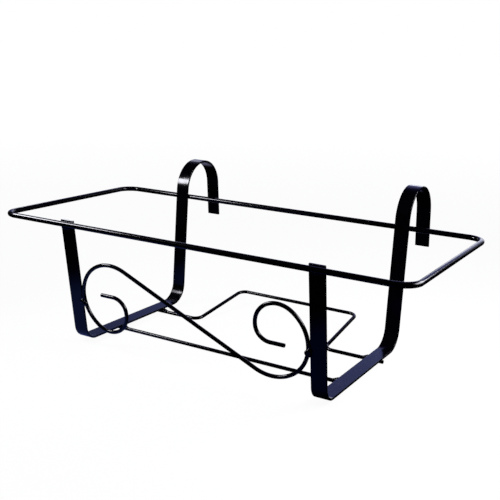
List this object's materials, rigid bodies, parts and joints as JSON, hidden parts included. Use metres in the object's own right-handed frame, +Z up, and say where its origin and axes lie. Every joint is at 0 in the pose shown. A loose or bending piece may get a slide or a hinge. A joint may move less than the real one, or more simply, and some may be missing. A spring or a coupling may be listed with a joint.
{
  "type": "over-rail window box rack",
  "caption": "Welded steel rack that hooks over a balcony rail and carries a window box in a wire rim on flat-bar seats, with a scroll front.",
  "frame": {"origin": "middle of the rack's footprint, on the surface that its base wires stand on", "axes": "+X to the right along the rail, +Y from the scroll front towards the rail that the hooks go over, +Z up"},
  "size_m": [0.577, 0.3506, 0.2192],
  "materials": {
    "enamel_bar": "gloss black enamel",
    "enamel_wire": "gloss black enamel",
    "enamel_weld": "gloss black enamel over lumpy weld metal"
  },
  "bodies": {
    "root": {"rim_wire": "enamel_wire", "front_base_wire": "enamel_wire", "rear_base_wire": "enamel_wire", "scroll_wire": "enamel_wire", "bracket_left": "enamel_bar", "rim_weld_front_left": "enamel_weld", "rim_weld_rear_left": "enamel_weld", "scroll_weld_left": "enamel_weld", "front_wire_weld_left": "enamel_weld", "rear_wire_weld_left": "enamel_weld", "bracket_right": "enamel_bar", "rim_weld_front_right": "enamel_weld", "rim_weld_rear_right": "enamel_weld", "scroll_weld_right": "enamel_weld", "front_wire_weld_right": "enamel_weld", "rear_wire_weld_right": "enamel_weld"}
  },
  "joints": []
}
